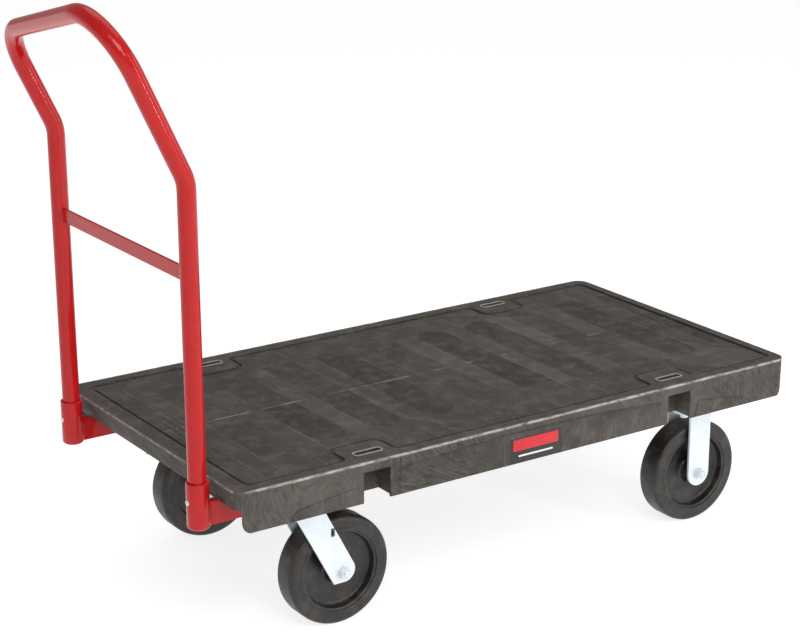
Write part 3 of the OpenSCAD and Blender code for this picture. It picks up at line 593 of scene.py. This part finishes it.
# A raised lip with rounded edges around each strap slot
def makeSlotLips(p):
    shape = bmesh.new()
    wide = p["radius"]
    for sx in (-1, 1):
        for sy in (-1, 1):
            before = set(shape.verts)
            bmesh.ops.create_grid(shape, x_segments=1, y_segments=1, size=0.5)
            corners = [v for v in shape.verts if v not in before]
            bmesh.ops.scale(shape, verts=corners, vec=(p["length"] + 2 * wide, p["width"] + 2 * wide, 1.0))
            bmesh.ops.translate(shape, verts=corners, vec=(deckMid.x + sx * p["x"] + p["shift"], sy * p["y"],
                                                           deckHigh.z - 0.0002))
            bmesh.ops.bevel(shape, geom=corners, affect="VERTICES", offset=p["corner"] + wide, segments=6,
                            profile=0.5, material=-1)
    middles = shape.faces[:]
    bmesh.ops.inset_region(shape, faces=middles, thickness=wide, use_even_offset=True, use_boundary=True)
    bmesh.ops.delete(shape, geom=middles, context="FACES")
    raised = bmesh.ops.extrude_face_region(shape, geom=shape.faces[:])["geom"]
    top = [g for g in raised if isinstance(g, bmesh.types.BMVert)]
    bmesh.ops.translate(shape, verts=top, vec=(0, 0, p["rise"]))
    topFaces = {g for g in raised if isinstance(g, bmesh.types.BMFace)}
    rims = [e for e in shape.edges if len([f for f in e.link_faces if f in topFaces]) == 1]
    bmesh.ops.bevel(shape, geom=rims, affect="EDGES", offset=wide * 0.42, segments=3,
                    profile=0.5, material=-1)
    newPiece("slotLips", toMesh(shape, "slotLips"), finishes["deck_resin"], "chassis",
             sharp=1.2)


makeSlotLips(lip)

for node, slotName in (("deck_beams", "beam_steel"), ("threaded_inserts", "brass")):
    nodes[node].data.materials.clear()
    nodes[node].data.materials.append(finishes[slotName])

badgeShape = {"plateRound": 0.004, "bandTop": 0.0035, "bandSide": 0.006, "bandHeight": 0.0215,
              "lineHeight": 0.0035, "lineLow": 0.009, "lineSide": 0.018, "lift": 0.00025}


def roundedPanel(low, high, yFront, depth, rounding, name, edge=0.0003):
    shape = bmesh.new()
    bmesh.ops.create_cube(shape, size=1.0)
    size = Vector((high.x - low.x, depth, high.z - low.z))
    middle = Vector(((low.x + high.x) / 2, yFront + depth / 2, (low.z + high.z) / 2))
    bmesh.ops.scale(shape, verts=shape.verts, vec=size)
    bmesh.ops.translate(shape, verts=shape.verts, vec=middle)
    if rounding:
        upright = [e for e in shape.edges if abs(e.verts[0].co.y - e.verts[1].co.y) > depth / 2]
        bmesh.ops.bevel(shape, geom=upright, affect="EDGES", offset=rounding, segments=5,
                        profile=0.5, material=-1)
    front = [e for e in shape.edges if all(abs(v.co.y - yFront) < 1e-6 for v in e.verts)]
    bmesh.ops.bevel(shape, geom=front, affect="EDGES", offset=edge, segments=2, profile=0.5, material=-1)
    return toMesh(shape, name)


def makeBadge(b):
    low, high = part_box("badge")
    front = low.y
    depth = high.y - low.y
    plate = roundedPanel(low, high, front + b["lift"], depth - b["lift"], b["plateRound"], "badgePlate")
    newPiece("badgePlate", plate, finishes["badge"], "chassis", ("badge",))
    bandLow = Vector((low.x + b["bandSide"], 0, high.z - b["bandTop"] - b["bandHeight"]))
    bandHigh = Vector((high.x - b["bandSide"], 0, high.z - b["bandTop"]))
    newPiece("badgeBand", roundedPanel(bandLow, bandHigh, front, depth * 0.6, 0.0015, "badgeBand", 0.0001),
             finishes["badgeRed"], "chassis")
    lineLow = Vector((low.x + b["lineSide"], 0, low.z + b["lineLow"]))
    lineHigh = Vector((high.x - b["lineSide"], 0, low.z + b["lineLow"] + b["lineHeight"]))
    newPiece("badgeLine", roundedPanel(lineLow, lineHigh, front, depth * 0.6, 0.001, "badgeLine", 0.0001),
             finishes["badgePale"], "chassis")


makeBadge(badgeShape)
print("deck done")

socketLow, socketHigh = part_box("socket_left")
postX = (socketLow.x + socketHigh.x) / 2
postY = (socketLow.y + socketHigh.y) / 2
handle = {"tubeRadius": 0.015875, "shoulderZ": 0.833, "shoulderBend": 0.070, "tilt": 25.0,
          "bend": 0.095, "slope": 14.1, "barMiddle": 0.2558, "sides": 40, "bendSteps": 20,
          "shoulderSteps": 10}


# The tube is drawn from the foot of the right post to the foot of the left one
def makeHandleTube(h):
    t, slope = math.radians(h["tilt"]), math.radians(h["slope"])
    along = Vector((-math.sin(t), 0, math.cos(t)))
    bendY = postY - h["bend"]
    shoulder = h["shoulderBend"] * math.tan(t / 2)
    footZ = socketLow.z + 0.008
    startZ = h["shoulderZ"] - shoulder

    def barV(y):
        return h["barMiddle"] - math.tan(slope) * y

    highV = barV(-bendY) - h["bend"] / math.cos(slope)
    lowV = barV(bendY) - h["bend"] / math.cos(slope)

    def onLoop(y, v):
        return Vector((postX, y, h["shoulderZ"])) + along * v

    shape = bmesh.new()
    ring = bmesh.ops.create_circle(shape, cap_ends=True, segments=h["sides"], radius=h["tubeRadius"])
    bmesh.ops.translate(shape, verts=ring["verts"], vec=(postX, -postY, footZ))
    head = shape.faces[:]

    def straight(vector):
        nonlocal head
        made = bmesh.ops.extrude_face_region(shape, geom=head)
        head = [g for g in made["geom"] if isinstance(g, bmesh.types.BMFace)]
        moved = [g for g in made["geom"] if isinstance(g, bmesh.types.BMVert)]
        bmesh.ops.translate(shape, verts=moved, vec=vector)

    def bend(centre, axis, angle, steps):
        nonlocal head
        for step in range(steps):
            made = bmesh.ops.extrude_face_region(shape, geom=head)
            head = [g for g in made["geom"] if isinstance(g, bmesh.types.BMFace)]
            moved = [g for g in made["geom"] if isinstance(g, bmesh.types.BMVert)]
            bmesh.ops.rotate(shape, verts=moved, cent=centre, matrix=Matrix.Rotation(angle / steps, 3, axis))

    across = Vector((-math.cos(t), 0, -math.sin(t)))
    turn = math.pi / 2 + slope
    straight(Vector((0, 0, startZ - footZ)))
    bend((postX - h["shoulderBend"], -postY, startZ), Vector((0, -1, 0)), t, h["shoulderSteps"])
    straight(along * (highV - shoulder))
    bend(onLoop(-bendY, highV), across, turn, h["bendSteps"])
    barStart = onLoop(-bendY + h["bend"] * math.sin(slope), highV + h["bend"] * math.cos(slope))
    barEnd = onLoop(bendY + h["bend"] * math.sin(slope), lowV + h["bend"] * math.cos(slope))
    straight(barEnd - barStart)
    bend(onLoop(bendY, lowV), across, math.pi - turn, h["bendSteps"])
    straight(-along * (lowV - shoulder))
    bend((postX - h["shoulderBend"], postY, startZ), Vector((0, 1, 0)), t, h["shoulderSteps"])
    straight(Vector((0, 0, footZ - startZ)))
    mesh = toMesh(shape, "handleTube")
    newPiece("handleTube", mesh, finishes["red_paint"], "chassis", ("handle_tube",), sharp=0.9)


makeHandleTube(handle)
roundedCopy("handle_crossbar", finishes["red_paint"], "chassis", 0.0014, 3)

weld = {"radius": 0.0028, "ripples": 34}


# A short bead of weld metal between two points, with its ripples as small rings
def weldBead(name, start, end, radius, ripples, material, body):
    start, end = Vector(start), Vector(end)
    direction = end - start
    length = direction.length
    profile = [(0.0, 0.0, 0)]
    for i in range(ripples):
        h = length * (i + 0.5) / ripples
        fade = min(1.0, 4 * min(i + 0.5, ripples - i - 0.5) / ripples + 0.3)
        profile.append((radius * fade * (1.0 if i % 2 else 0.86), h, 0))
    profile.append((0.0, length, 0))
    shape = lathed(profile, steps=12, closed=False)
    turn = direction.to_track_quat("Z", "Y").to_matrix().to_4x4()
    bmesh.ops.transform(shape, matrix=Matrix.Translation(start) @ turn, verts=shape.verts)
    newPiece(name, toMesh(shape, name), material, body, sharp=1.4)


socketShape = {"radius": 0.0198, "bore": 0.01603, "floor": 0.008, "base": 0.006, "lip": 0.0009}


def makeSocket(side, s):
    name = "left" if side > 0 else "right"
    low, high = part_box("socket_" + name)
    bottom, top = low.z, high.z
    shape = lathed([(0.0, bottom, 0), (s["radius"], bottom, s["base"]), (s["radius"], top, s["lip"]),
                    (s["bore"], top, s["lip"]), (s["bore"], bottom + s["floor"], 0),
                    (0.0, bottom + s["floor"], 0)], steps=64, closed=False)
    bmesh.ops.translate(shape, verts=shape.verts, vec=(postX, side * postY, 0))
    newPiece("socket-" + name, toMesh(shape, "socket"), finishes["red_paint"], "chassis",
             ("socket_" + name,), sharp=0.7)
    # beads down both faces of the bracket's web
    webLow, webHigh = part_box("bracket_" + name)
    reach = s["radius"] * 0.992
    for face in (-1, 1):
        y = side * postY + face * 0.0034
        weldBead("socketBead-%s-%d" % (name, face), (postX + reach, y, webLow.z + 0.004),
                 (postX + reach, y, webHigh.z - 0.002), weld["radius"], weld["ripples"],
                 finishes["red_paint"], "chassis")
    roundedCopy("bracket_" + name, finishes["red_paint"], "chassis", 0.0011, 2)


for side in (1, -1):
    makeSocket(side, socketShape)


def joinShapes(shapes, name):
    whole = bmesh.new()
    for shape in shapes:
        part = bpy.data.meshes.new("part")
        shape.to_mesh(part)
        shape.free()
        whole.from_mesh(part)
        bpy.data.meshes.remove(part)
    mesh = bpy.data.meshes.new(name)
    whole.to_mesh(mesh)
    whole.free()
    return mesh


screw = {"head": 0.005, "thick": 0.0026, "recess": 0.0021, "height": 0.290}


def makeSocketScrews(s):
    shapes = []
    for side in (1, -1):
        shape = lathed([(0.0, -0.0028, 0), (0.0029, -0.0028, 0), (0.0029, 0.0, 0), (s["head"], 0.0, 0),
                        (s["head"], s["thick"] * 0.7, 0.0012), (s["recess"], s["thick"], 0.0002),
                        (s["recess"], s["thick"] * 0.35, 0), (0.0, s["thick"] * 0.35, 0)],
                       steps=24, closed=False)
        bmesh.ops.recalc_face_normals(shape, faces=shape.faces)
        turn = Matrix.Rotation(math.radians(-90), 4, "Y")
        place = Matrix.Translation((postX - socketShape["radius"] + 0.0003, side * postY, s["height"]))
        bmesh.ops.transform(shape, matrix=place @ turn, verts=shape.verts)
        shapes.append(shape)
    newPiece("socketScrews", joinShapes(shapes, "socketScrews"), finishes["bolt_zinc"], "chassis",
             ("socket_screws",), sharp=0.5)


makeSocketScrews(screw)

for side in (1, -1):
    for sign in (-1, 1):
        reach = handle["tubeRadius"] * 0.985
        barLow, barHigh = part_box("handle_crossbar")
        x = postX + sign * 0.0029
        weldBead("crossbarBead-%d-%d" % (side, sign), (x, side * (postY - reach), barLow.z + 0.001),
                 (x, side * (postY - reach), barHigh.z - 0.001), 0.0021, 20, finishes["red_paint"], "chassis")
print("handle done")

tyre = {"radius": 0.1016, "half": 0.0254, "inner": 0.076, "shoulder": 0.009, "sideStep": 0.0010,
        "ringOut": 0.0925, "ringIn": 0.0795}
core = {"half": 0.0244, "rimIn": 0.070, "rimOut": 0.076, "webHalf": 0.009, "hub": 0.025,
        "hubHalf": 0.0286, "bore": 0.01508, "fillet": 0.005}
fastener = {"across": 0.019, "nutHeight": 0.0105, "headHeight": 0.008, "boltRadius": 0.00635,
            "legOut": 0.0348, "past": 0.014, "pitch": 0.0016, "threadDepth": 0.0007}


def tyreProfile(t):
    r, w = t["radius"], t["half"]
    upper = [(t["inner"], w, 0.0008), (t["ringIn"], w, 0.0004),
             (t["ringIn"] + 0.0006, w - t["sideStep"], 0.0003),
             (t["ringOut"] - 0.0012, w - t["sideStep"] * 0.8, 0.0003), (r, w, t["shoulder"])]
    lower = [(a, -b, c) for a, b, c in reversed(upper)]
    return upper + [(r, 0.0009, 0), (r, -0.0009, 0)] + lower


def coreProfile(c):
    upper = [(c["bore"], c["hubHalf"], 0.0006), (c["hub"] - 0.0015, c["hubHalf"], 0.0012),
             (c["hub"], c["webHalf"], c["fillet"]), (c["rimIn"] - 0.001, c["webHalf"], c["fillet"]),
             (c["rimIn"] + 0.001, c["half"] - 0.0015, 0.0012), (c["rimOut"], c["half"] - 0.0002, 0.0006)]
    lower = [(a, -b, r) for a, b, r in reversed(upper)]
    return upper + lower


def makeWheel(kind, side, axle):
    name = "%s-%s" % (kind, side)
    sign = 1 if side == "left" else -1
    body = "%s_wheel_%s" % (kind, side)
    centre = Vector(axle)
    shape = lathed(tyreProfile(tyre), steps=128)
    layOnAxle(shape, centre, sign)
    newPiece("tyre-" + name, toMesh(shape, "tyre"), finishes["tyre"], body,
             ("%s_tyre_%s" % (kind, side),), sharp=0.9)
    shape = lathed(coreProfile(core), steps=128)
    layOnAxle(shape, centre, sign)
    newPiece("core-" + name, toMesh(shape, "core"), finishes["wheel_core"], body,
             ("%s_core_%s" % (kind, side),), sharp=0.9)
    setNodeFinish("%s_bearing_%s" % (kind, side), "bare_steel")


def setNodeFinish(node, slotName):
    nodes[node].data.materials.clear()
    nodes[node].data.materials.append(finishes[slotName])


# The bolt's end past the nut shows its thread and a rounded tip
def boltProfile(f):
    r = f["boltRadius"]
    end = f["legOut"] + f["past"]
    points = [(0.0, -f["legOut"], 0), (r, -f["legOut"], 0), (r, f["legOut"] + 0.004, 0)]
    z = f["legOut"] + 0.005
    while z < end - 0.0022:
        points += [(r - f["threadDepth"], z, 0), (r - 0.0001, z + f["pitch"] / 2, 0)]
        z += f["pitch"]
    points += [(r - f["threadDepth"], end - 0.0016, 0), (r - 0.0022, end, 0.0004), (0.0, end, 0)]
    return points


def makeAxle(kind, side, axle):
    sign = 1 if side == "left" else -1
    body = "swivel_" + side if kind == "swivel" else "chassis"
    f = fastener
    bolt = lathed(boltProfile(f), steps=32, closed=False)
    bmesh.ops.recalc_face_normals(bolt, faces=bolt.faces)
    head = hexPrism(f["across"], -f["legOut"], -f["legOut"] - f["headHeight"], 0.0022)
    for shape in (bolt, head):
        layOnAxle(shape, Vector(axle), sign)
    newPiece("axleBolt-%s-%s" % (kind, side), joinShapes([bolt, head], "axleBolt"), finishes["bolt_zinc"],
             body, ("%s_axle_bolt_%s" % (kind, side),), sharp=0.5)
    washer = lathed([(f["boltRadius"] + 0.0002, f["legOut"], 0), (f["across"] / 2 + 0.0004, f["legOut"], 0),
                     (f["across"] / 2 + 0.0004, f["legOut"] + 0.0009, 0.0003),
                     (f["boltRadius"] + 0.0002, f["legOut"] + 0.0009, 0)], steps=48)
    bmesh.ops.recalc_face_normals(washer, faces=washer.faces)
    nut = hexPrism(f["across"], f["legOut"] + 0.0008, f["legOut"] + f["nutHeight"], 0.0026)
    collar = lathed([(f["boltRadius"] - 0.0003, f["legOut"] + f["nutHeight"] - 0.002, 0),
                     (0.0078, f["legOut"] + f["nutHeight"] - 0.002, 0),
                     (0.0078, f["legOut"] + f["nutHeight"] + 0.0006, 0.0003),
                     (f["boltRadius"] - 0.0003, f["legOut"] + f["nutHeight"] + 0.0006, 0)], steps=32)
    bmesh.ops.recalc_face_normals(collar, faces=collar.faces)
    for shape in (washer, nut, collar):
        layOnAxle(shape, Vector(axle), sign)
    newPiece("axleNut-%s-%s" % (kind, side), joinShapes([washer, nut, collar], "axleNut"),
             finishes["bolt_zinc"], body, ("%s_axle_nut_%s" % (kind, side),), sharp=0.5)


for side in ("left", "right"):
    for kind in ("swivel", "rigid"):
        low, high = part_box("%s_tyre_%s" % (kind, side))
        axle = (low + high) / 2
        makeWheel(kind, side, axle)
        makeAxle(kind, side, axle)
        body = "swivel_" + side if kind == "swivel" else "chassis"
        roundedCopy("%s_fork_%s" % (kind, side), finishes["zinc"], body, 0.0009, 2)
        roundedCopy("%s_bolts_%s" % (kind, side), finishes["bolt_zinc"], "chassis", 0.0006, 1)
        setNodeFinish("%s_axle_sleeve_%s" % (kind, side), "bare_steel")
    roundedCopy("swivel_plate_" + side, finishes["zinc"], "chassis", 0.0008, 2)
    roundedCopy("kingpin_" + side, finishes["bare_steel"], "chassis", 0.0007, 1)
    roundedCopy("kingpin_nut_" + side, finishes["bolt_zinc"], "chassis", 0.0007, 1)
    setNodeFinish("race_balls_" + side, "bare_steel")
    setNodeFinish("thrust_washer_" + side, "bare_steel")
print("casters done")

studio = {"world": 0.32, "floor": 0.5, "floorGlow": 0.8, "key": 84.0, "fill": 26.0, "rimLight": 24.0,
          "strip": 60.0}


def makeFloor(brightness):
    shape = bmesh.new()
    bmesh.ops.create_grid(shape, x_segments=8, y_segments=8, size=40.0)
    floor = bpy.data.objects.new("floor", toMesh(shape, "floor"))
    scene.collection.objects.link(floor)
    floor.location.z = -0.0005
    material, tree, shader, coords = startMaterial("floorPaper")
    cloud = noise(tree, coords.outputs["Object"], 1.5, 2.0)
    tree.links.new(blendColours(tree, cloud, (brightness, brightness, brightness, 1),
                                (brightness * 0.985, brightness * 0.985, brightness * 0.985, 1)),
                   shader.inputs["Base Color"])
    shader.inputs["Roughness"].default_value = 0.9
    shader.inputs["Specular IOR Level"].default_value = 0.1
    shader.inputs["Emission Color"].default_value = (1, 1, 1, 1)
    shader.inputs["Emission Strength"].default_value = studio["floorGlow"]
    floor.data.materials.append(material)


def makeLight(name, place, aim, size, power, tint=(1, 1, 1)):
    lightData = bpy.data.lights.new(name, "AREA")
    lightData.shape = "RECTANGLE"
    lightData.size, lightData.size_y = size
    lightData.energy = power
    lightData.color = tint
    light = bpy.data.objects.new(name, lightData)
    light.location = place
    light.rotation_mode = "QUATERNION"
    light.rotation_quaternion = (Vector(aim) - Vector(place)).to_track_quat("-Z", "Y")
    scene.collection.objects.link(light)


makeFloor(studio["floor"])
makeLight("keyPanel", (-1.6, -3.4, 3.4), (0, 0, 0.4), (2.6, 1.8), studio["key"], (1.0, 0.99, 0.97))
makeLight("topPanel", (0.6, 0.6, 3.6), (0, 0, 0.3), (3.4, 2.4), studio["fill"])
makeLight("sidePanel", (3.4, -1.4, 1.8), (0, 0, 0.4), (1.8, 2.2), studio["rimLight"], (0.97, 0.985, 1.0))
makeLight("stripPanel", (1.9, -4.2, 1.6), (-0.7, 0, 0.7), (0.12, 3.4), studio["strip"])
world = bpy.data.worlds.new("world")
world.use_nodes = True
world.node_tree.nodes["Background"].inputs[0].default_value = (1.0, 1.0, 1.0, 1)
world.node_tree.nodes["Background"].inputs[1].default_value = studio["world"]
scene.world = world
print("stage done")
